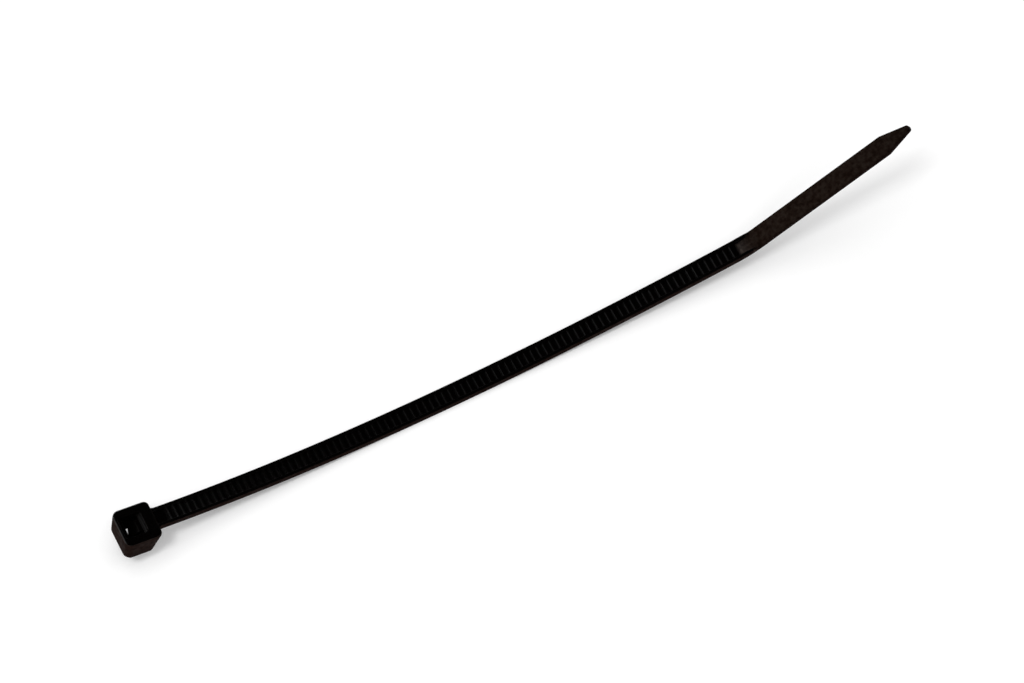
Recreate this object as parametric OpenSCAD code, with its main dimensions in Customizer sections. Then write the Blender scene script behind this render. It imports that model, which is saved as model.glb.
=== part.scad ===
// One-piece cable tie lying at rest, teeth up. Lengths in millimetres, angles in degrees.
// +X runs along the strap from the head to the tail, +Y across it and +Z up.
// The table is at z = 0, and x = 0 is the middle of the whole length.

/* [Strap] */
// Width of the strap over both rails
strap_w = 2.4; // [2:0.1:3.2]
// Thickness of the strap over the rails
strap_t = 1; // [0.9:0.05:1.3]
// Thickness of the web under the teeth
web_t = 0.5; // [0.4:0.05:0.6]
// Thickness of the tail
tail_t = 0.66; // [0.6:0.02:0.8]
// Width of each of the two rails beside the teeth
rail_w = 0.35; // [0.25:0.05:0.5]
// Length of the strap from the head to the bend
run_len = 73.8; // [40:1:110]

/* [Teeth] */
// Distance from one tooth to the next
tooth_pitch = 0.813; // [0.6:0.001:1.2]
// Height of a tooth over the root beside it
tooth_h = 0.35; // [0.2:0.01:0.4]
// Height of the roots over the web
root_h = 0.05; // [0.02:0.01:0.08]
// Length of the flat on top of each tooth
tooth_land = 0.09; // [0.04:0.01:0.2]
// Lean of each tooth's steep face, as a length along the strap
tooth_rake = 0.14; // [0.02:0.02:0.2]
// Smooth length between the head and the first tooth
lead_gap = 1.43; // [0.5:0.01:4]
// Length of the teeth past the start of the bend
tooth_overrun = 0.85; // [0:0.05:1]

/* [Set of the plastic] */
// Slope of the strap where it leaves the head
neck_angle = -14.5; // [-18:0.1:-11]
// Turn of the strap from the head to the bend
curl_angle = 23.4; // [20:0.1:30]
// How much more the strap curls at the head than halfway
curl_ratio = 0.5; // [0:0.05:0.7]
// Turn of the short bend before the tail
bend_angle = 22.6; // [10:0.5:35]
// Radius of that bend, on the underside
bend_r = 10; // [4:0.5:20]

/* [Tail] */
// Length of the rails past the start of the bend
rail_overrun = 2.8; // [1.8:0.1:3.2]
// Length of the slope in which the rails run out
rail_runout = 1.5; // [0.4:0.1:1.6]
// Length of the slope between the teeth and the tail's upper face
run_in = 0.6; // [0.2:0.1:0.8]
// Length of the tail from the bend to its tip
tail_len = 21.75; // [12:0.5:40]
// Length of the pointed end
point_len = 3.55; // [2:0.05:8]
// Width of the blunt tip
tip_w = 0.68; // [0.6:0.02:1]
// Rounding of the tip's two corners
tip_r = 0.3; // [0.05:0.05:0.35]

/* [Head] */
// Height of the head
head_h = 3.5; // [3.2:0.1:4.5]
// Height of the head's top over the rails
head_rise = 0.05; // [0.02:0.01:0.3]
// Wall behind the slot
back_wall = 0.8; // [0.7:0.05:2]
// Wall between the slot and the strap, at the top
front_wall = 1.8; // [1.6:0.1:3]
// Wall on each side of the slot
side_wall = 1.05; // [0.7:0.05:2]
// Lean of the back wall over the head's height
back_lean = 0.3; // [0:0.05:0.5]
// Lean of the front wall over the head's height
front_lean = 0.65; // [0:0.05:1]
// Rounding of the two upright corners at the back
back_corner_r = 0.85; // [0.2:0.05:1.2]
// Rounding of the two shoulders beside the strap
shoulder_r = 0.6; // [0.2:0.1:0.8]
// Rounding of the top edges at the back and the sides
top_edge_r = 0.3; // [0.1:0.02:0.45]
// Rounding of the bottom edges
bottom_edge_r = 0.22; // [0.1:0.02:0.4]
// Fillet between the strap's sides and the head
neck_fillet = 0.35; // [0.1:0.05:0.5]

/* [Slot] */
// Clearance on each side of a strap in the slot
slot_side_gap = 0.1; // [0.05:0.05:0.3]
// Room for the pawl in front of a strap in the slot
pawl_room = 0.9; // [0.8:0.1:1.4]
// Length of the lead-in at the front of the mouth
lead_in = 0.45; // [0.1:0.05:0.6]
// Depth of that lead-in
lead_in_depth = 0.35; // [0.2:0.05:0.5]
// Chamfer at the back of the mouth
mouth_chamfer = 0.15; // [0.05:0.05:0.3]

/* [Pawl] */
// Gap between the pawl's teeth and the back of the slot
pawl_gap = 0.85; // [0.7:0.05:1]
// Clearance on each side of the pawl, inside a strap's rails
pawl_side_gap = 0.08; // [0.04:0.02:0.2]
// Depth of the pawl's root below the top of the head
pawl_root_depth = 0.5; // [0.5:0.05:0.7]
// Thickness of the pawl at its root
pawl_root_t = 0.45; // [0.3:0.05:0.6]
// Thickness of the pawl at its free end
pawl_end_t = 0.55; // [0.4:0.05:0.7]
// Depth of the pawl's free end below the top of the head
pawl_depth = 1.95; // [1.8:0.05:2.3]
// Height of the pawl's teeth
pawl_tooth_h = 0.22; // [0.1:0.02:0.3]

/* [Hidden] */
nylon = [0.07, 0.07, 0.075];
curl_steps = 4;
corner_steps = 5;
bite = 0.05;
station_step = 1;
bend_steps = 8;
root_embed = 0.3;
past = 1;
degrees = 180 / PI;

channel_w = strap_w - 2 * rail_w;
slot_w = strap_w + 2 * slot_side_gap;
slot_len = strap_t + pawl_room;
head_w = slot_w + 2 * side_wall;
head_len = back_wall + slot_len + front_wall;
head_top = strap_t + head_rise;
head_drop = head_h - head_top;
slot_back = -head_len + back_wall;
slot_front = slot_back + slot_len;
pawl_w = channel_w - 2 * pawl_side_gap;
step_len = run_len / curl_steps;
tooth_end = run_len + tooth_overrun;
tooth_count = floor((tooth_end - lead_gap) / tooth_pitch);
bend_slope = neck_angle + curl_angle;
tail_slope = bend_slope + bend_angle;
bend_len = bend_angle / degrees * bend_r;

// Vector helpers
function unit(v) = v / norm(v);
function turned(p, a) = [p[0] * cos(a) - p[1] * sin(a), p[0] * sin(a) + p[1] * cos(a)];
function arc_point(r, a) = r * [sin(a), 1 - cos(a)];

// Points of one rounded corner at q, between the neighbours p and s
function fillet(p, q, s, r) =
    let (
        u = unit(p - q),
        v = unit(s - q),
        opening = acos(u * v),
        centre = q + unit(u + v) * r / sin(opening / 2),
        start = q + u * r / tan(opening / 2) - centre,
        sense = cross(q - p, s - q) > 0 ? 1 : -1
    )
    [for (k = [0 : corner_steps]) centre + turned(start, sense * (180 - opening) * k / corner_steps)];

// An outline with each corner rounded by its own radius, or sharp where that is zero
function rounded(points, radii) =
    let (n = len(points))
    [for (i = [0 : n - 1])
        each (radii[i] == 0 ? [points[i]]
            : fillet(points[(i + n - 1) % n], points[i], points[(i + 1) % n], radii[i]))];

// The underside of the toothed strap is a chain of arcs that open out towards the tail
function step_turn(i) = curl_angle * (1 + curl_ratio * (1 - (2 * i + 1) / curl_steps)) / curl_steps;
function step_slope(i) = i == 0 ? neck_angle : step_slope(i - 1) + step_turn(i - 1);
function step_radius(i) = step_len / step_turn(i) * degrees;
function step_start(i) = i == 0 ? [0, 0]
    : step_start(i - 1) + turned(arc_point(step_radius(i - 1), step_turn(i - 1)), step_slope(i - 1));
step_slopes = [for (i = [0 : curl_steps]) step_slope(i)];
step_starts = [for (i = [0 : curl_steps]) step_start(i)];

bend_start = step_starts[curl_steps];
tail_start = bend_start + turned(arc_point(bend_r, bend_angle), bend_slope);
tail_end = tail_start + turned([tail_len, 0], tail_slope);

// A point that lies s along the underside and h over it, on the neck, the arcs, the bend or the tail
function above(s, h) =
    s < 0 ? turned([s, h], neck_angle)
    : s < run_len ? on_arc(min(floor(s / step_len), curl_steps - 1), s, h)
    : s < run_len + bend_len ? on_bend((s - run_len) / bend_r * degrees, h)
    : tail_start + turned([s - run_len - bend_len, h], tail_slope);
function on_arc(i, s, h) =
    let (turn = (s - i * step_len) / step_radius(i) * degrees)
    step_starts[i] + turned(arc_point(step_radius(i), turn), step_slopes[i])
        + turned([0, h], step_slopes[i] + turn);
function on_bend(turn, h) =
    bend_start + turned(arc_point(bend_r, turn), bend_slope) + turned([0, h], bend_slope + turn);

// Stations along the strap, close together in the bend
station_count = ceil(run_len / station_step);
stations = concat(
    [-front_wall / 2],
    [for (k = [0 : station_count - 1]) k * run_len / station_count],
    [for (k = [0 : bend_steps]) run_len + k * bend_len / bend_steps],
    [run_len + bend_len + tail_len]);
rail_stations = [for (s = stations) if (s < run_len + rail_overrun - rail_runout - bite) s];

// Outline of the head from the side, with x = 0 at the strap and z = 0 at its underside
head_side = rounded(
    [[-head_len + back_lean, -head_drop], [-front_lean, -head_drop], [0, head_top], [-head_len, head_top]],
    [bottom_edge_r, bottom_edge_r, 0, top_edge_r]);

// The tie is lowered until the strap, or the head, touches the table
function step_low(i) = step_slopes[i] < 0 && step_slopes[i + 1] > 0
    ? step_starts[i][1] - step_radius(i) * (1 - cos(step_slopes[i]))
    : min(step_starts[i][1], step_starts[i + 1][1]);
strap_low = min([for (i = [0 : curl_steps - 1]) step_low(i)]);
head_low = min([for (p = head_side) turned(p, neck_angle)[1]]);
lift = -min(strap_low, head_low);
head_end = min([for (p = head_side) turned(p, neck_angle)[0]]);
middle = (head_end + tail_end[0]) / 2;

// Moves to a point of the side view and turns to its slope
module at(point, slope) {
    translate([point[0], 0, point[1]]) rotate([0, -slope, 0]) children();
}

// A section carried straight ahead
module straight_run(section, length) {
    rotate([90, 0, 90]) linear_extrude(height = length) polygon(section);
}

// A side outline carried across, centred on the strap
module across(outline, width) {
    rotate([90, 0, 0]) linear_extrude(height = width, center = true) polygon(outline);
}

// Height of the web's upper face over the underside, which rises from the teeth to the tail
function web_top(s) = web_t + (tail_t - web_t) * min(1, max(0, (s - tooth_end) / run_in));

// Web that runs from inside the head to the tip of the tail
module web() {
    places = concat(
        [for (s = stations) if (s < tooth_end) s],
        [tooth_end, tooth_end + run_in],
        [for (s = stations) if (s > tooth_end + run_in) s]);
    across(concat(
        [for (s = places) above(s, 0)],
        [for (k = [len(places) - 1 : -1 : 0]) above(places[k], web_top(places[k]))]), strap_w);
}

// Two rails that guard the teeth and run out on the bend
module rails() {
    end = run_len + rail_overrun;
    top = [for (k = [len(rail_stations) - 1 : -1 : 0]) above(rail_stations[k], strap_t)];
    buried = [for (s = rail_stations) above(s, web_t / 2)];
    outline = concat(buried, [above(end, web_t / 2), above(end, tail_t - bite), above(end - rail_runout, strap_t)], top);
    for (side = [-1, 1]) translate([0, side * (strap_w - rail_w) / 2, 0]) across(outline, rail_w);
}

// One saw-tooth outline: steep faces look to the head, long slopes look to the tail
module tooth_strip() {
    root = web_t + root_h;
    crests = [for (k = [0 : tooth_count - 1])
        let (s = lead_gap + k * tooth_pitch)
        each [above(s, root), above(s + tooth_rake, root + tooth_h),
            above(s + tooth_rake + tooth_land, root + tooth_h)]];
    last = lead_gap + tooth_count * tooth_pitch;
    buried = [for (k = [tooth_count : -1 : 0]) above(lead_gap + k * tooth_pitch, web_t / 2)];
    across(concat(crests, [above(last, root)], buried), channel_w + 2 * bite);
}

// What is cut away beside the pointed end of the tail
module point_cut() {
    side = strap_w / 2;
    tip = tip_w / 2;
    point = rounded(
        [[0, -side - past], [tail_len - point_len, -side], [tail_len, -tip], [tail_len, tip],
            [tail_len - point_len, side], [0, side + past]],
        [0, 0, tip_r, tip_r, 0, 0]);
    at(tail_start, tail_slope) translate([0, 0, -past]) linear_extrude(height = tail_t + 2 * past)
        difference() {
            translate([tail_len - point_len, -strap_w]) square([point_len + past, 2 * strap_w]);
            polygon(point);
        }
}

module strap() {
    difference() {
        union() {
            web();
            rails();
            tooth_strip();
        }
        point_cut();
    }
}

// Outside of the head: side, plan and end outlines meet in one moulded block
module head_block() {
    half = head_w / 2;
    plan = rounded(
        [[-head_len, -half], [0, -half], [0, half], [-head_len, half]],
        [back_corner_r, shoulder_r, shoulder_r, back_corner_r]);
    end_view = rounded(
        [[-half, -head_drop], [half, -head_drop], [half, head_top], [-half, head_top]],
        [bottom_edge_r, bottom_edge_r, top_edge_r, top_edge_r]);
    intersection() {
        across(head_side, head_w + past);
        translate([0, 0, -head_drop - past]) linear_extrude(height = head_h + 2 * past) polygon(plan);
        translate([-head_len - past, 0, 0]) straight_run(end_view, head_len + 2 * past);
    }
}

// Slot through the head, with a sloped mouth
module slot() {
    top = head_top;
    outline = [
        [slot_back, -head_drop - past], [slot_front, -head_drop - past], [slot_front, top - lead_in_depth],
        [slot_front + lead_in, top], [slot_front + lead_in, top + past], [slot_back - mouth_chamfer, top + past],
        [slot_back - mouth_chamfer, top], [slot_back, top - 2 * mouth_chamfer]];
    across(outline, slot_w);
}

// Sprung pawl that hangs from the front wall and leans to the back of the slot
module pawl() {
    crest = slot_back + pawl_gap;
    top = head_top;
    upper_crest = (pawl_root_depth + pawl_depth) / 2;
    outline = [
        [slot_front + root_embed, top - pawl_root_depth - pawl_root_t],
        [slot_front + root_embed, top - pawl_root_depth],
        [slot_front, top - pawl_root_depth],
        [crest + pawl_tooth_h / 4, top - upper_crest],
        [crest + pawl_tooth_h, top - upper_crest - bite],
        [crest, top - pawl_depth],
        [crest + pawl_end_t, top - pawl_depth - bite],
        [slot_front, top - pawl_root_depth - pawl_root_t]];
    across(outline, pawl_w);
}

// Quarter-round webs beside the neck
module neck_fillets() {
    for (side = [0, 1]) mirror([0, side, 0]) translate([0, 0, bite])
        linear_extrude(height = strap_t - 2 * bite) difference() {
        translate([-front_wall / 2, strap_w / 2 - bite]) square([front_wall / 2 + neck_fillet, neck_fillet + bite]);
        translate([neck_fillet, strap_w / 2 + neck_fillet]) circle(r = neck_fillet, $fn = 48);
    }
}

module head() {
    at([0, 0], neck_angle) {
        difference() {
            union() {
                head_block();
                neck_fillets();
            }
            slot();
        }
        pawl();
    }
}

// The whole tie is moulded in one piece
module cable_tie() {
    color(nylon) translate([-middle, 0, lift]) union() {
        strap();
        head();
    }
}

cable_tie();
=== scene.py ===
import math

import bmesh
import bpy
from mathutils import Matrix, Vector


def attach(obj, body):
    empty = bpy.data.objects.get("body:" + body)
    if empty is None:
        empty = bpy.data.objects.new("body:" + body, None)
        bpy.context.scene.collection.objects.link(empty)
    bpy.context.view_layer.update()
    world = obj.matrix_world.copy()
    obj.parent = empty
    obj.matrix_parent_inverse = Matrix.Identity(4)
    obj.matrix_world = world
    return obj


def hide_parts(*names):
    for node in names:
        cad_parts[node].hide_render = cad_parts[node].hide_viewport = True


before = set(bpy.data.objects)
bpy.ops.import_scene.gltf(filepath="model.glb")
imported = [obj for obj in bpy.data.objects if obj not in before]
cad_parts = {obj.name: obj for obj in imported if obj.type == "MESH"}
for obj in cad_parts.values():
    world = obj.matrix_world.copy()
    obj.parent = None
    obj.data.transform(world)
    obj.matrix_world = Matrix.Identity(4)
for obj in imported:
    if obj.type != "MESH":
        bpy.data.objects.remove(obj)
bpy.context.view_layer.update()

MM = 0.001

# Sizes of the tie in millimetres and degrees, under the names that its source gives them
strap_w, strap_t, web_t, tail_t, rail_w, run_len = 2.4, 1.0, 0.5, 0.66, 0.35, 73.8
tooth_pitch, tooth_h, root_h, lead_gap, tooth_count = 0.813, 0.35, 0.05, 1.43, 90
neck_angle, curl_angle, curl_ratio, curl_steps = -14.5, 23.4, 0.5, 4
bend_angle, bend_r = 22.6, 10.0
rail_overrun, rail_runout, run_in = 2.8, 1.5, 0.6
tail_len, point_len, tip_w, tip_r = 21.75, 3.55, 0.68, 0.3
head_h, head_rise, back_wall, front_wall, side_wall = 3.5, 0.05, 0.8, 1.8, 1.05
back_lean, front_lean, back_corner_r, shoulder_r = 0.3, 0.65, 0.85, 0.6
top_edge_r, bottom_edge_r, neck_fillet = 0.3, 0.22, 0.35
slot_side_gap, pawl_room, lead_in = 0.1, 0.9, 0.45
pawl_gap, pawl_side_gap, pawl_root_depth, pawl_root_t, pawl_end_t = 0.85, 0.08, 0.5, 0.45, 0.55
pawl_depth, pawl_tooth_h = 1.95, 0.22

# The neck, where the strap's curve starts, lies this far behind and above the part's origin
middle, lift = 45.4225, 4.37124

# Each tooth rises steeply and then by a facet that faces the head, which catches the left softbox
steep_run, steep_rise, facet_run, facet_shift = 0.09, 0.31, 0.1, 0.05
root_r, steep_r, crest_r, last_root_r, run_in_r = 0.04, 0.02, 0.05, 0.06, 0.3

# The strap's section: edge radii, the rails' dressed width and the steps at their feet
under_r, rail_r, rail_edge_r, rail_foot_r = 0.12, 0.1, 0.07, 0.05
dressed_rail_w, rail_narrowing, rail_least = 0.4, 0.06, 0.08
foot_step, foot_run = 0.02, 0.06

# The head's dressing: draft of its walls, its front top edge and the slot's narrowing
wall_draft, front_edge_r = 0.06, 0.1
mouth_reach, back_wall_shift, slot_squeeze, slot_taper = 0.44, 0.2, 0.05, 0.008

channel_w = strap_w - 2 * rail_w
slot_w = strap_w + 2 * slot_side_gap
slot_len = strap_t + pawl_room
head_w = slot_w + 2 * side_wall
head_len = back_wall + slot_len + front_wall
head_top = strap_t + head_rise
head_drop = head_h - head_top
slot_back = -head_len + back_wall
slot_front = slot_back + slot_len
pawl_w = channel_w - 2 * pawl_side_gap
tooth_end = lead_gap + tooth_count * tooth_pitch
bend_len = math.radians(bend_angle) * bend_r
tail_tip = run_len + bend_len + tail_len
tail_point = tail_tip - point_len
rail_end = run_len + rail_overrun


def turned(x, z, degrees):
    a = math.radians(degrees)
    return x * math.cos(a) - z * math.sin(a), x * math.sin(a) + z * math.cos(a)


def along_step(d, length, turn):
    """How far forward and up a step goes over its first d mm, and by how many degrees it turns."""
    if not turn or d < 0:
        return d, 0.0, 0.0
    r = length / math.radians(turn)
    a = d / r
    return r * math.sin(a), r * (1 - math.cos(a)), math.degrees(a)


def curve_steps():
    """Start, place, slope, length and turn of each arc under the strap, and of the tail."""
    steps, x, z, slope, s = [], 0.0, 0.0, neck_angle, 0.0
    shares = [1 + curl_ratio * (1 - (2 * i + 1) / curl_steps) for i in range(curl_steps)]
    parts = [(run_len / curl_steps, curl_angle * share / curl_steps) for share in shares]
    for length, turn in parts + [(bend_len, bend_angle), (tail_len, 0.0)]:
        steps.append((s, x, z, slope, length, turn))
        forward, rise, _ = along_step(length, length, turn)
        dx, dz = turned(forward, rise, slope)
        x, z, slope, s = x + dx, z + dz, slope + turn, s + length
    return steps


STEPS = curve_steps()


def above(s, h):
    """The point s along the underside and h over it, as (x, z) in the part's frame, in mm."""
    start, x, z, slope, length, turn = [step for step in STEPS if step[0] <= max(s, 0.0)][-1]
    forward, rise, bend = along_step(s - start, length, turn)
    dx, dz = turned(forward, rise, slope)
    ux, uz = turned(0, h, slope + bend)
    return x + dx + ux - middle, z + dz + uz + lift


def ease(t):
    t = min(1.0, max(0.0, t))
    return t * t * (3 - 2 * t)


def quarter(steps):
    """Angles from 0 to 90 degrees in equal steps, in radians."""
    return [math.pi / 2 * k / steps for k in range(steps + 1)]


def rounded_corner(before, corner, after, radius, most_cut, steps):
    """Points of the arc that rounds a corner, and cuts off at most this share of each side."""
    x, z = corner
    ax, az = before[0] - x, before[1] - z
    bx, bz = after[0] - x, after[1] - z
    la, lb = math.hypot(ax, az), math.hypot(bx, bz)
    ua, ub = (ax / la, az / la), (bx / lb, bz / lb)
    opening = math.acos(max(-1.0, min(1.0, ua[0] * ub[0] + ua[1] * ub[1])))
    cut = min(radius / math.tan(opening / 2), most_cut * la, most_cut * lb)
    r = cut * math.tan(opening / 2)
    mx, mz = ua[0] + ub[0], ua[1] + ub[1]
    ml = math.hypot(mx, mz)
    d = r / math.sin(opening / 2)
    cx, cz = x + mx / ml * d, z + mz / ml * d
    start = math.atan2(z + ua[1] * cut - cz, x + ua[0] * cut - cx)
    end = math.atan2(z + ub[1] * cut - cz, x + ub[0] * cut - cx)
    while end - start > math.pi:
        end -= 2 * math.pi
    while end - start < -math.pi:
        end += 2 * math.pi
    angles = [start + (end - start) * k / steps for k in range(steps + 1)]
    return [(cx + r * math.cos(a), cz + r * math.sin(a)) for a in angles]


def half_width(s):
    """Half the strap's width at s, with the fillets at the head and the pointed end."""
    half = strap_w / 2
    if s < neck_fillet:
        d = max(s, 0.0)
        return half + neck_fillet - math.sqrt(neck_fillet ** 2 - (neck_fillet - d) ** 2)
    if s <= tail_point:
        return half
    slope = (half - tip_w / 2) / point_len
    # the tip's corner is an arc of tip_r that meets the taper and the blunt end
    a = math.atan(slope)
    cx = tail_tip - tip_r
    cy = tip_w / 2 - tip_r * (1 - math.sin(a)) / math.cos(a)
    if s > cx + tip_r * math.sin(a):
        return cy + math.sqrt(max(tip_r ** 2 - (s - cx) ** 2, 0.0))
    return half - (s - tail_point) * slope


def tooth_outline():
    """Stations and heights of the channel's floor, with rounded crests and rounded roots."""
    root = web_t + root_h
    crest = root + tooth_h
    # the floor starts inside the head, and has two plain stations before the first tooth
    pts = [(s, root) for s in (-front_wall / 2, 0.25, 0.7)]
    corners = []
    for k in range(tooth_count):
        s = lead_gap + k * tooth_pitch - facet_shift
        corners += [(s, root, root_r), (s + steep_run, root + steep_rise, steep_r),
                    (s + steep_run + facet_run, crest, crest_r)]
    corners += [(tooth_end, root, last_root_r), (tooth_end + run_in, tail_t, run_in_r)]
    chain = [pts[-1]] + [(s, h) for s, h, r in corners] + [(tail_tip, tail_t)]
    for before, (s, h, r), after in zip(chain, corners, chain[2:]):
        pts += rounded_corner(before, (s, h), after, r, most_cut=0.42, steps=3)
    return pts


def strap_stations():
    """(s, floor height) from inside the head to the tip."""
    bend_step, tail_steps, point_steps, tip_steps = 0.25, 18, 8, 8
    tip_run = 1.05 * tip_r
    pts = tooth_outline()
    s = pts[-1][0]
    rest = []
    while s + bend_step < run_len + bend_len:
        s += bend_step
        rest.append(s)
    rest += [s + (tail_point - s) * k / tail_steps for k in range(1, tail_steps + 1)]
    taper = point_len - tip_run
    rest += [tail_point + taper * k / point_steps for k in range(1, point_steps + 1)]
    rest += [tail_tip - tip_run + tip_run * math.sin(a) for a in quarter(tip_steps)[1:]]
    return pts + [(v, tail_t) for v in rest]


def rail_height(s):
    """The rails' height at s: full along the teeth, then down to the tail in a round slope."""
    roundness = 0.45
    if s <= rail_end - rail_runout:
        return strap_t
    if s >= rail_end:
        return tail_t
    return tail_t + (strap_t - tail_t) * ((rail_end - s) / rail_runout) ** roundness


def rail_inner(s, half):
    """Distance of a rail's inner edge from the middle plane."""
    plain_gap = 0.2
    start = tooth_end + plain_gap
    narrow = ease((s - start) / (rail_end - start))
    fillet = max(0.0, min(half - strap_w / 2, neck_fillet))
    return half - dressed_rail_w - fillet + narrow * rail_narrowing


def section(s, floor):
    """Half of the section, from the middle of the underside round to the channel's middle."""
    half = half_width(s)
    tall = max(rail_height(s), floor)
    # shares of the half width and of the channel's depth that place the points
    side_mid, least_channel, edge_share, foot_share, floor_mid = 0.5, 0.35, 0.4, 0.3, 0.55
    # the edges get finer where the tip is narrower than this on each side
    fine_half = 0.3
    squeeze = min(1.0, half / fine_half)
    low_r, top_r = under_r * squeeze, rail_r * squeeze
    pts = [(0.0, 0.0), (side_mid * (half - low_r), 0.0)]
    for a in quarter(3):
        pts.append((half - low_r + low_r * math.sin(a), low_r - low_r * math.cos(a)))
    pts.append((half, side_mid * tall))
    for a in quarter(3):
        pts.append((half - top_r + top_r * math.cos(a), tall - top_r + top_r * math.sin(a)))
    inner = max(min(rail_inner(s, half), half - top_r - rail_least), least_channel * half)
    drop = tall - floor
    edge, foot = min(rail_edge_r, edge_share * drop), min(rail_foot_r, foot_share * drop)
    top = []
    for a in quarter(2):
        out = rail_edge_r - rail_edge_r * math.sin(a)
        top.append((inner + out, tall - edge + edge * math.cos(a)))
    for a in quarter(2):
        run = foot_run * (1 - math.cos(a))
        top.append((inner - foot_step - run, floor + foot - foot * math.sin(a)))
    top += [(floor_mid * inner, floor), (0.0, floor)]
    # on a narrow tip the points keep their order and never fold back
    shares = (0.95, 0.92, 0.89, 0.86, 0.83, 0.8, 0.5, 0.0)
    pts += [(min(y, share * (half - top_r)), h) for (y, h), share in zip(top, shares)]
    return pts


def skin(name, rings, ends):
    """A closed skin over rings of equal length, in mm. Its ends are flat, a fan, or joined."""
    bm = bmesh.new()
    rows = [[bm.verts.new((x * MM, y * MM, z * MM)) for x, y, z in ring] for ring in rings]
    n = len(rows[0])
    following = rows[1:] + rows[:1] if ends == "joined" else rows[1:]
    for a, b in zip(rows, following):
        for i in range(n):
            j = (i + 1) % n
            bm.faces.new((a[i], a[j], b[j], b[i]))
    if ends != "joined":
        bm.faces.new(rows[0])
    if ends == "flat":
        bm.faces.new(list(reversed(rows[-1])))
    if ends == "fan":
        hub = bm.verts.new(sum((v.co for v in rows[-1]), Vector()) / n)
        for i in range(n):
            bm.faces.new((rows[-1][i], rows[-1][(i + 1) % n], hub))
    bmesh.ops.recalc_face_normals(bm, faces=bm.faces)
    mesh = bpy.data.meshes.new(name)
    bm.to_mesh(mesh)
    bm.free()
    obj = bpy.data.objects.new(name, mesh)
    bpy.context.scene.collection.objects.link(obj)
    return obj


def make_strap():
    rings = []
    for s, floor in strap_stations():
        half = section(s, floor)
        around = half + [(-y, h) for y, h in reversed(half[1:-1])]
        ring = []
        for y, h in around:
            x, z = above(s, h)
            ring.append((x, y, z))
        rings.append(ring)
    return skin("strap", rings, "fan")


def head_point(x, y, z):
    """A point of the head's own frame, in mm, as a point of the part."""
    X, Z = turned(x, z, neck_angle)
    return X - middle, y, Z + lift


def rounded_rect(x0, x1, half, back_r, front_r, side_n=8, corner_n=8):
    """Points and outward directions round a rectangle, from its back right corner."""
    corners = [(x0 + back_r, -half + back_r, 180, back_r),
               (x1 - front_r, -half + front_r, 270, front_r),
               (x1 - front_r, half - front_r, 0, front_r),
               (x0 + back_r, half - back_r, 90, back_r)]
    out = []
    for i, (cx, cy, start, r) in enumerate(corners):
        for k in range(corner_n + 1):
            a = math.radians(start + 90 * k / corner_n)
            out.append((cx + r * math.cos(a), cy + r * math.sin(a), math.cos(a), math.sin(a)))
        nx, ny, _, nr = corners[(i + 1) % 4]
        a = math.radians(start + 90)
        p = (cx + r * math.cos(a), cy + r * math.sin(a))
        q = (nx + nr * math.cos(a), ny + nr * math.sin(a))
        for k in range(1, side_n):
            t = k / side_n
            x, y = p[0] + (q[0] - p[0]) * t, p[1] + (q[1] - p[1]) * t
            out.append((x, y, math.cos(a), math.sin(a)))
    return out


def outer_ring(z, inset, front_inset):
    """A ring round the head's walls at height z, drawn in by its inset, and in front by its own."""
    t = (head_top - z) / head_h
    half = head_w / 2 - wall_draft * t
    ring = []
    for x, y, nx, ny in rounded_rect(-head_len + back_lean * t, -front_lean * t, half,
                                     back_corner_r, shoulder_r):
        w = inset + (front_inset - inset) * nx ** 2 if nx > 0 else inset
        ring.append(head_point(x - nx * w, y - ny * w, z))
    return ring


def slot_ring(z, x0, x1, half, r):
    return [head_point(x, y, z) for x, y, _, _ in rounded_rect(x0, x1, half, r, r)]


def mix_rings(a, b, t):
    return [tuple(p + (q - p) * t for p, q in zip(u, v)) for u, v in zip(a, b)]


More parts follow.
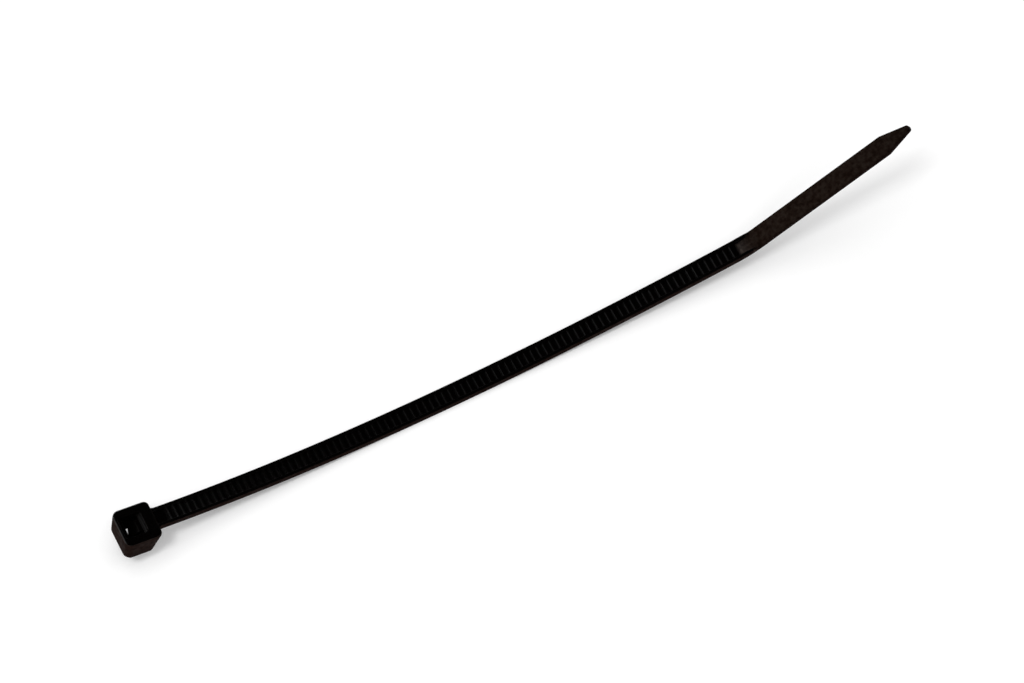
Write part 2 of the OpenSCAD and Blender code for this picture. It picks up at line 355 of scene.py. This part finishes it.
def make_head():
    """The head as one ring-shaped skin: up its walls, over its top, down the slot and back."""
    edge_steps, wall_steps, slot_steps = 5, 6, 4
    top_shares, foot_shares = (0.3, 0.7), (0.35, 0.7)
    slot_wall_start, slot_wall_end, slot_corner_r = 0.56, 0.1, 0.1
    rings = []
    for a in quarter(edge_steps):
        inset = bottom_edge_r * (1 - math.sin(a))
        rings.append(outer_ring(-head_drop + bottom_edge_r * (1 - math.cos(a)), inset, inset))
    wall_h = head_h - bottom_edge_r - top_edge_r
    for k in range(1, wall_steps):
        rings.append(outer_ring(-head_drop + bottom_edge_r + wall_h * k / wall_steps, 0, 0))
    for a in quarter(edge_steps):
        inset, front_inset = top_edge_r * (1 - math.cos(a)), front_edge_r * (1 - math.cos(a))
        z = head_top - top_edge_r + top_edge_r * math.sin(a)
        rings.append(outer_ring(z, inset, front_inset))
    rim = rings[-1]
    mouth_back, mouth_front = slot_back - mouth_reach, slot_front + lead_in
    # the mouth: depth, back and front offsets, side offset and corner radius of each ring
    mouth = [(0.0, 0.05, 0.05, 0.05, 0.32), (0.015, 0.015, 0.015, 0.02, 0.3),
             (0.05, -0.02, -0.02, 0.0, 0.28), (0.2, -0.14, -0.1, 0.0, 0.25),
             (0.3, -0.24, -0.15, 0.0, 0.22), (0.4, -0.34, -0.32, 0.0, 0.18),
             (0.47, -0.42, -0.43, -0.02, 0.15), (0.6, -0.6, -0.45, -0.05, 0.12)]
    lips = [slot_ring(head_top - d, mouth_back - b, mouth_front + f, slot_w / 2 + w, r)
            for d, b, f, w, r in mouth]
    rings += [mix_rings(rim, lips[0], t) for t in top_shares] + lips
    # the slot narrows a little on its way down
    slot_wall_h = head_h - slot_wall_start - slot_wall_end
    for k in range(1, slot_steps + 1):
        z = head_top - slot_wall_start - slot_wall_h * k / slot_steps
        half = slot_w / 2 - slot_squeeze - slot_taper * k
        rings.append(slot_ring(z, slot_back + back_wall_shift, slot_front, half, slot_corner_r))
    # the foot: height, back and front offsets, side offset and corner radius of each ring
    for h, b, f, w, r in ((0.03, 0.18, 0.02, 0.08, 0.12), (0.0, 0.14, 0.06, 0.04, 0.15)):
        rings.append(slot_ring(-head_drop + h, slot_back + b, slot_front + f, slot_w / 2 - w, r))
    rings += [mix_rings(rings[-1], rings[0], t) for t in foot_shares]
    return skin("head", rings, "joined")


def make_pawl():
    """The pawl, whose nose reaches further on one side than on the other."""
    root_sink, hinge_gap, hinge_drop, edge_r = 0.3, 0.38, 0.03, 0.05
    tooth_start, tooth_drop, nose_reach, nose_drop, end_drop = 0.1, 0.05, 0.2, 0.2, 0.15
    nose_skew, nose_back, skew_start = 0.27, 0.03, 0.5
    crest, top = slot_back + pawl_gap, head_top
    upper = (pawl_root_depth + pawl_depth) / 2
    # each corner as x, z and its radius
    corners = [
        (slot_front + root_sink, top - pawl_root_depth - pawl_root_t, 0),
        (slot_front + root_sink, top - pawl_root_depth, 0),
        (slot_front - hinge_gap, top - pawl_root_depth - hinge_drop, 0.08),
        (crest + tooth_start, top - upper, 0.05),
        (crest + pawl_tooth_h, top - upper - tooth_drop, 0.05),
        (crest - nose_reach, top - pawl_depth - nose_drop, 0.05),
        (crest + pawl_end_t, top - pawl_depth - end_drop, 0.08),
        (slot_front, top - pawl_root_depth - pawl_root_t, 0.1)]
    side = []
    for k, (x, z, r) in enumerate(corners):
        after = corners[(k + 1) % len(corners)]
        side += rounded_corner(corners[k - 1], (x, z), after, r, 0.45, 4) if r else [(x, z)]
    cx = sum(x for x, z in side) / len(side)
    cz = sum(z for x, z in side) / len(side)
    half, bevel, bevel_inset = pawl_w / 2, 0.015, 0.4 * edge_r
    rings = []
    for y, inset in ((-half, edge_r), (-half + bevel, bevel_inset), (-half + edge_r, 0),
                     (half - edge_r, 0), (half - bevel, bevel_inset), (half, edge_r)):
        ring = []
        for x, z in side:
            d = math.hypot(cx - x, cz - z)
            skew = ease((slot_front - skew_start - x) / skew_start)
            x += (nose_skew * y / half - nose_back) * skew
            ring.append(head_point(x + (cx - x) / d * inset, y, z + (cz - z) / d * inset))
        rings.append(ring)
    return skin("pawl", rings, "flat")


def union(base, *others):
    """One skin round all the pieces, without slivers."""
    for other in others:
        mod = base.modifiers.new("join", "BOOLEAN")
        mod.operation = "UNION"
        mod.solver = "EXACT"
        mod.object = other
    deps = bpy.context.evaluated_depsgraph_get()
    mesh = bpy.data.meshes.new_from_object(base.evaluated_get(deps))
    base.modifiers.clear()
    # the seams leave slivers, which are merged away
    sliver = 0.0005 * MM
    bm = bmesh.new()
    bm.from_mesh(mesh)
    bmesh.ops.remove_doubles(bm, verts=bm.verts, dist=sliver)
    bmesh.ops.dissolve_degenerate(bm, edges=bm.edges, dist=sliver)
    bmesh.ops.triangulate(bm, faces=[f for f in bm.faces if len(f.verts) > 4])
    bm.to_mesh(mesh)
    bm.free()
    base.data = mesh
    for other in others:
        bpy.data.objects.remove(other)
    return base


def feed(tree, target, source):
    """Sets a node's input from another node's output, or to a plain value."""
    if isinstance(source, bpy.types.NodeSocket):
        tree.links.new(source, target)
    else:
        target.default_value = source


def maths(tree, operation, *sources):
    item = tree.nodes.new("ShaderNodeMath")
    item.operation = operation
    for target, source in zip(item.inputs, sources):
        feed(tree, target, source)
    return item.outputs[0]


def ramp(tree, source, low, high, to_low=0.0, to_high=1.0):
    """Maps the range from low to high onto another one, and stops at its ends."""
    item = tree.nodes.new("ShaderNodeMapRange")
    names = ("Value", "From Min", "From Max", "To Min", "To Max")
    for name, value in zip(names, (source, low, high, to_low, to_high)):
        feed(tree, item.inputs[name], value)
    return item.outputs[0]


def mix(tree, share, a, b, colour=False):
    """From a to b by a share, as numbers or as colours."""
    item = tree.nodes.new("ShaderNodeMix")
    item.data_type = "RGBA" if colour else "FLOAT"
    for k, source in zip((0, 6, 7) if colour else (0, 2, 3), (share, a, b)):
        feed(tree, item.inputs[k], source)
    return item.outputs[2 if colour else 0]


def noise(tree, place, scale, detail, roughness):
    item = tree.nodes.new("ShaderNodeTexNoise")
    names = ("Vector", "Scale", "Detail", "Roughness")
    for name, value in zip(names, (place, scale, detail, roughness)):
        feed(tree, item.inputs[name], value)
    return item.outputs["Fac"]


def split(tree, vector):
    """The X, Y and Z of a vector."""
    item = tree.nodes.new("ShaderNodeSeparateXYZ")
    feed(tree, item.inputs[0], vector)
    return item.outputs


def shown_rays(tree, path):
    """1 for the rays that see the background as it is: camera, glossy and transmission."""
    total = maths(tree, "ADD", path["Is Camera Ray"], path["Is Glossy Ray"])
    return maths(tree, "ADD", total, path["Is Transmission Ray"])


def nylon():
    """Black nylon: polished teeth and rails, a frosted tail, and rough outer walls on the head."""
    mat = bpy.data.materials.new("black_nylon")
    mat.use_nodes = True
    tree = mat.node_tree
    bsdf = tree.nodes["Principled BSDF"].inputs
    place = tree.nodes.new("ShaderNodeTexCoord").outputs["Object"]
    x, y, z = split(tree, place)
    upward = split(tree, tree.nodes.new("ShaderNodeNewGeometry").outputs["Normal"])[2]
    offside = maths(tree, "ABSOLUTE", y)

    # speck is the fine moulded grain, cloud the wider wear, blotch the uneven sheen
    speck = noise(tree, place, scale=3600.0, detail=4.0, roughness=0.6)
    cloud = noise(tree, place, scale=420.0, detail=3.0, roughness=0.55)
    shade = noise(tree, place, scale=1900.0, detail=2.0, roughness=0.5)
    blotch = ramp(tree, shade, 0.35, 0.65)
    uneven = ramp(tree, blotch, 0.0, 1.0, 0.55, 1.35)

    # the tail is frosted from the last tooth on, apart from the rails' ends
    tail_x = above(tooth_end, tail_t)[0] * MM
    rail_end_x = above(rail_end, strap_t)[0] * MM
    rail_inside, frost_start, frost_full, rail_fade = 0.82 * MM, -0.1 * MM, 0.3 * MM, 0.1 * MM
    past_teeth = ramp(tree, x, tail_x + frost_start, tail_x + frost_full)
    on_rail = maths(tree, "MULTIPLY", maths(tree, "GREATER_THAN", offside, rail_inside),
                    maths(tree, "LESS_THAN", x, rail_end_x - rail_fade))
    frosted = maths(tree, "MULTIPLY", past_teeth, maths(tree, "SUBTRACT", 1.0, on_rail))

    # the patch after the last tooth is paler, and fades out along the tail
    patch_full, patch_gone = 0.6 * MM, 2.2 * MM
    patch = ramp(tree, x, tail_x + patch_gone, tail_x + patch_full)
    patched = maths(tree, "MULTIPLY", patch, frosted)

    # forward runs along the head's own frame from the neck, so it is below 0 in the head
    along_x, along_z = turned(1, 0, neck_angle)
    shift = (middle * along_x - lift * along_z) * MM
    forward = maths(tree, "ADD", maths(tree, "ADD", maths(tree, "MULTIPLY", x, along_x),
                                       maths(tree, "MULTIPLY", z, along_z)), shift)
    slot_start_x, slot_end_x, slot_side_y = -4.17 * MM, -1.2 * MM, 1.6 * MM
    between = maths(tree, "MULTIPLY", maths(tree, "GREATER_THAN", forward, slot_start_x),
                    maths(tree, "LESS_THAN", forward, slot_end_x))
    in_slot = maths(tree, "MULTIPLY", between, maths(tree, "LESS_THAN", offside, slot_side_y))

    # the outer walls of head, strap and tip are textured and carry a painted sheen, the teeth and
    # the slot aren't
    point_x = above(tail_point, 0)[0] * MM
    strap_side, wall_slope, wall_slope_full = 1.0 * MM, 0.75, 0.35
    outer = maths(tree, "MAXIMUM", maths(tree, "GREATER_THAN", offside, strap_side),
                  maths(tree, "LESS_THAN", forward, 0.0))
    outer = maths(tree, "MAXIMUM", outer, maths(tree, "GREATER_THAN", x, point_x))
    upright = ramp(tree, maths(tree, "ABSOLUTE", upward), wall_slope, wall_slope_full)
    wall = maths(tree, "MULTIPLY", upright, maths(tree, "SUBTRACT", outer, in_slot))

    # colour: near black, a little warm, with a faint mottle, and browner on the walls, where the
    # brown is painted sheen standing in for the floor light that upright faces reflect
    black, dark = (0.0003, 0.0002, 0.0002, 1), (0.001, 0.0007, 0.0006, 1)
    # painted sheen: a blotchy brown laid on the upright walls in place of reflected light
    painted_sheen_brown = (0.0095, 0.003, 0.0016, 1)
    tone = mix(tree, speck, black, dark, colour=True)
    painted_sheen_share = maths(tree, "MULTIPLY", wall, uneven)
    feed(tree, bsdf["Base Color"], mix(tree, painted_sheen_share, tone, painted_sheen_brown, colour=True))

    # roughness: polished, frosted, and rough on the walls
    polished_rough = ramp(tree, cloud, 0.3, 0.7, 0.24, 0.32)
    frosted_rough = ramp(tree, speck, 0.3, 0.7, 0.40, 0.56)
    wall_rough = ramp(tree, cloud, 0.3, 0.7, 0.7, 0.98)
    rough = mix(tree, frosted, polished_rough, frosted_rough)
    rough = mix(tree, wall, rough, wall_rough)
    patch_rough = maths(tree, "MULTIPLY", patched, 0.1)
    feed(tree, bsdf["Roughness"], maths(tree, "ADD", rough, patch_rough))

    # bump: fine moulded grain, stronger on the tail
    bump = tree.nodes.new("ShaderNodeBump")
    feed(tree, bump.inputs["Distance"], 0.01 * MM)
    feed(tree, bump.inputs["Height"], speck)
    feed(tree, bump.inputs["Strength"], mix(tree, frosted, 0.15, 0.7))
    feed(tree, bsdf["Normal"], bump.outputs[0])
    feed(tree, bsdf["IOR"], 1.5)

    # the frosted tail and the walls shine a little warmer, in patches
    soft = maths(tree, "MAXIMUM", frosted, wall)
    white, warm = (1, 1, 1, 1), (1.0, 0.8, 0.7, 1)
    warmest, warmer = (1.0, 0.5, 0.32, 1), (1.0, 0.68, 0.52, 1)
    tint = mix(tree, blotch, warmest, warmer, colour=True)
    tint = mix(tree, patched, tint, warm, colour=True)
    feed(tree, bsdf["Specular Tint"], mix(tree, soft, white, tint, colour=True))

    # shine: more on the patch, little on the walls, and in the slot only on its slopes
    shine, patch_shine, wall_loss = 0.25, 1.15, 0.205
    slope_shine, least_slope = 0.12, 0.6
    gain = maths(tree, "ADD", maths(tree, "MULTIPLY", patched, patch_shine), shine)
    gain = maths(tree, "SUBTRACT", gain, maths(tree, "MULTIPLY", wall, wall_loss))
    level = mix(tree, soft, shine, maths(tree, "MULTIPLY", gain, uneven))
    slope = maths(tree, "GREATER_THAN", upward, least_slope)
    feed(tree, bsdf["Specular IOR Level"],
         mix(tree, in_slot, level, maths(tree, "MULTIPLY", slope, slope_shine)))
    return mat


tie = union(make_head(), make_strap(), make_pawl())
tie.name = "cable_tie_nylon"
tie.data.name = "cable_tie_nylon"
for polygon in tie.data.polygons:
    polygon.use_smooth = True
sharp_edge = math.radians(50)
tie.data.set_sharp_from_angle(angle=sharp_edge)
tie.data.materials.clear()
tie.data.materials.append(nylon())
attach(tie, "root")
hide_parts("cable_tie")


def white_floor():
    """A white diffuse floor with a faint glow for the rays that see it directly."""
    far, glow_level = 3.0, 0.1
    mat = bpy.data.materials.new("white_floor")
    mat.use_nodes = True
    tree = mat.node_tree
    tree.nodes.clear()
    path = tree.nodes.new("ShaderNodeLightPath").outputs
    diffuse = tree.nodes.new("ShaderNodeBsdfDiffuse")
    feed(tree, diffuse.inputs["Color"], (0.9, 0.9, 0.9, 1))
    glow = tree.nodes.new("ShaderNodeEmission")
    feed(tree, glow.inputs["Color"], (1, 1, 1, 1))
    feed(tree, glow.inputs["Strength"], maths(tree, "MULTIPLY", shown_rays(tree, path), glow_level))
    both = tree.nodes.new("ShaderNodeAddShader")
    feed(tree, both.inputs[0], diffuse.outputs[0])
    feed(tree, both.inputs[1], glow.outputs[0])
    feed(tree, tree.nodes.new("ShaderNodeOutputMaterial").inputs["Surface"], both.outputs[0])

    mesh = bpy.data.meshes.new("floor")
    corners = [(-far, -far, 0), (far, -far, 0), (far, far, 0), (-far, far, 0)]
    mesh.from_pydata(corners, [], [(0, 1, 2, 3)])
    mesh.materials.append(mat)
    obj = bpy.data.objects.new("floor", mesh)
    bpy.context.scene.collection.objects.link(obj)
    return obj


floor = white_floor()


# the point that the lamps face, in metres
centre = Vector((0, 0, 0.004))


def direction(azimuth, zenith):
    """A unit vector, by its angle round from +X and its angle from straight up, in degrees."""
    a, t = math.radians(azimuth), math.radians(zenith)
    return Vector((math.cos(a) * math.sin(t), math.sin(a) * math.sin(t), math.cos(t)))


def area_light(name, way, distance, size, watts, glossy=True, size_y=None):
    """A lamp that lies this way from the tie and faces it. Sizes are in metres."""
    where = centre + way * distance
    lamp = bpy.data.lights.new(name, "AREA")
    lamp.shape = "RECTANGLE" if size_y else "SQUARE"
    lamp.size = size
    if size_y:
        lamp.size_y = size_y
    lamp.energy = watts
    obj = bpy.data.objects.new(name, lamp)
    bpy.context.scene.collection.objects.link(obj)
    obj.location = where
    obj.rotation_euler = (centre - where).to_track_quat("-Z", "Y").to_euler()
    obj.visible_glossy = glossy
    return obj


def white_world():
    """A white band just over the horizon for the camera and for gloss, and a plain fill light."""
    band_low, band_high, fill = 0.05, 0.14, 0.27
    world = bpy.data.worlds.new("studio")
    world.use_nodes = True
    tree = world.node_tree
    tree.nodes.clear()
    path = tree.nodes.new("ShaderNodeLightPath").outputs
    height = split(tree, tree.nodes.new("ShaderNodeTexCoord").outputs["Generated"])[2]
    band = ramp(tree, height, band_low, band_high, 1.0, 0.0)
    glow = maths(tree, "MULTIPLY", shown_rays(tree, path), band)
    background = tree.nodes.new("ShaderNodeBackground")
    feed(tree, background.inputs["Strength"],
         maths(tree, "MULTIPLY_ADD", path["Is Diffuse Ray"], fill, glow))
    feed(tree, tree.nodes.new("ShaderNodeOutputWorld").inputs["Surface"], background.outputs[0])
    return world


# the key's direction comes from where the tail's shadow falls in the photograph
area_light("key", direction(-160, 19.5), distance=0.9, size=0.17, watts=2.1, glossy=False)
area_light("broad", direction(-65, 5), distance=1.0, size=1.2, watts=8.1, glossy=False)
# the softbox makes the tooth lines, and the card the bright line on the head's back edge
left, low_left = Vector((-0.795, 0.35, 0.497)), Vector((-0.95, 0.2, 0.24))
area_light("left_softbox", left, distance=0.8, size=0.7, watts=1.02, size_y=0.45)
card = area_light("left_card", low_left, distance=0.9, size=0.9, watts=1.2, size_y=0.3)
card.visible_diffuse = False
bpy.context.scene.world = white_world()

# camera at the photograph's viewing angle, fitted to the photographed tie, with lengths in mm
elevation, swing, distance = math.radians(67.0237), math.radians(26.9131), 429.62
right = Vector((math.cos(swing), -math.sin(swing), 0))
away = Vector((math.sin(swing), math.cos(swing), 0))
up = Vector((0, 0, 1))
aim, aim_left, aim_away = Vector((46.364 - middle, 2.92, 0)), 0.058, 0.063
target = aim - right * aim_left + away * aim_away
back = up * math.sin(elevation) - away * math.cos(elevation)
tilt = up * math.cos(elevation) + away * math.sin(elevation)
lens = bpy.data.cameras.new("camera")
lens.sensor_width = 36.0
lens.lens = 131.098
camera = bpy.data.objects.new("camera", lens)
bpy.context.scene.collection.objects.link(camera)
pose = Matrix((right, tilt, back)).transposed().to_4x4()
pose.translation = (target + back * distance) * MM
camera.matrix_world = pose
bpy.context.scene.camera = camera
bpy.context.scene.view_settings.view_transform = "Standard"
